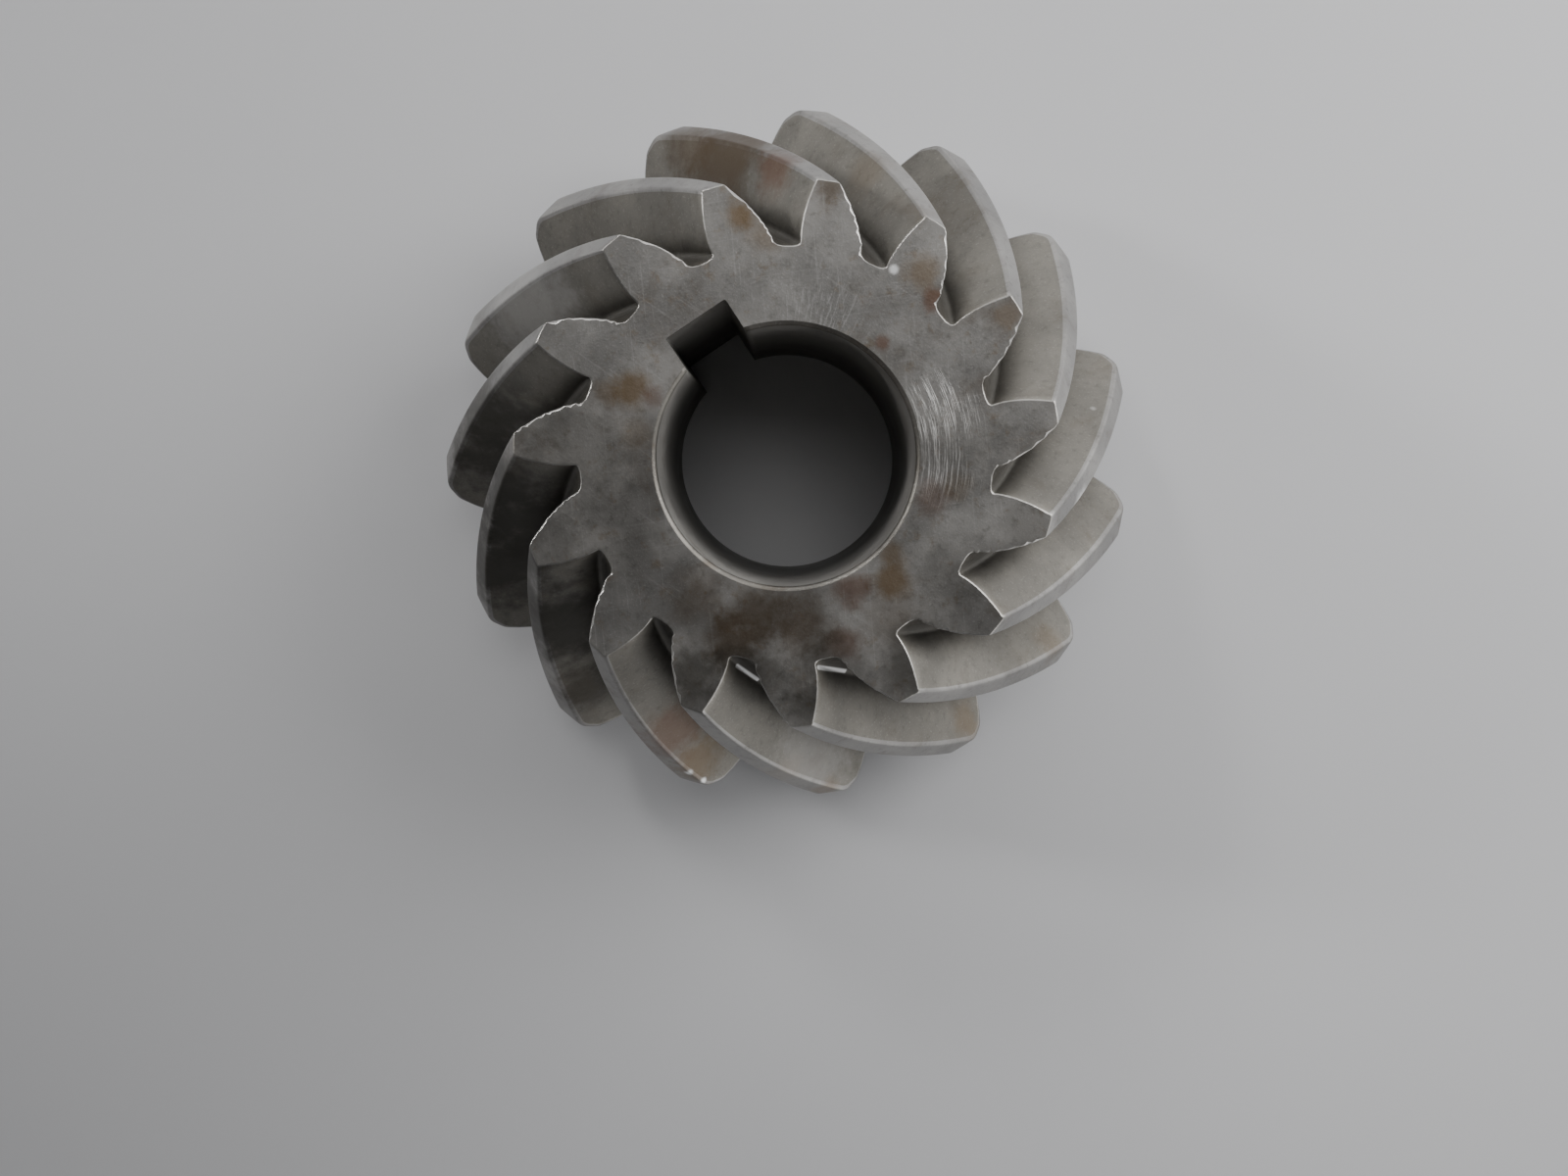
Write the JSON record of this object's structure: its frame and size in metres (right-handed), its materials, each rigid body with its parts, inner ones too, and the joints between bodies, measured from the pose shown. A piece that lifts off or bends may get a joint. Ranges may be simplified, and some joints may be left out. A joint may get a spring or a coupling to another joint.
{
  "type": "spiral bevel gear",
  "caption": "Spiral bevel pinion: left-hand curved teeth on a cone, flat toe face, plain through bore with a keyway, short back hub.",
  "frame": {"origin": "on the bore axis, in the plane of the back face of the hub", "axes": "+Z along the bore axis from the back face to the small toe end, +Y through the middle of the keyway"},
  "size_m": [0.0671, 0.0669, 0.026],
  "materials": {
    "machined_steel": "worn machined steel with light rust stains"
  },
  "bodies": {
    "root": {"spiral_bevel_pinion": "machined_steel"}
  },
  "joints": []
}
